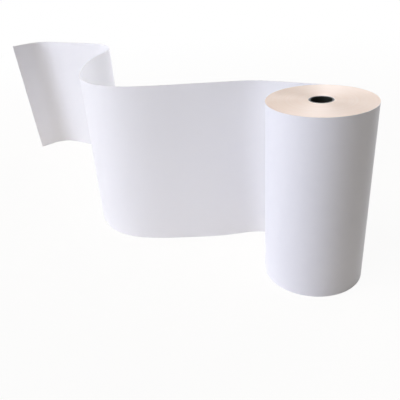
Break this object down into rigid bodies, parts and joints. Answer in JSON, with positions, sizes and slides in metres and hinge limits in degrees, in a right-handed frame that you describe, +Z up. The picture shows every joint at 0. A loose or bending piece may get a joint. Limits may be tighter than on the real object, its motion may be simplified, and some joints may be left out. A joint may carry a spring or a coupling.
{
  "type": "thermal paper roll",
  "caption": "Standing roll of white thermal paper on a thin black tube, with a long loose tail that stands on its edge in an S-shaped curve and ends in a square cut.",
  "frame": {"origin": "centre of the core's bore, in the plane of the lower end face that the roll stands on", "axes": "+Z up along the bore; the loose tail leaves the roll's +Y side and runs towards -X; -Y faces the viewer of the picture"},
  "size_m": [0.2748, 0.3009, 0.11],
  "materials": {
    "thermal_paper": "smooth cool white coat on the faces, warm cream end grain where the turns are cut",
    "black_plastic": "semi-matte black, extruded and cut square"
  },
  "bodies": {
    "root": {"paper": "thermal_paper", "core": "black_plastic"}
  },
  "joints": []
}
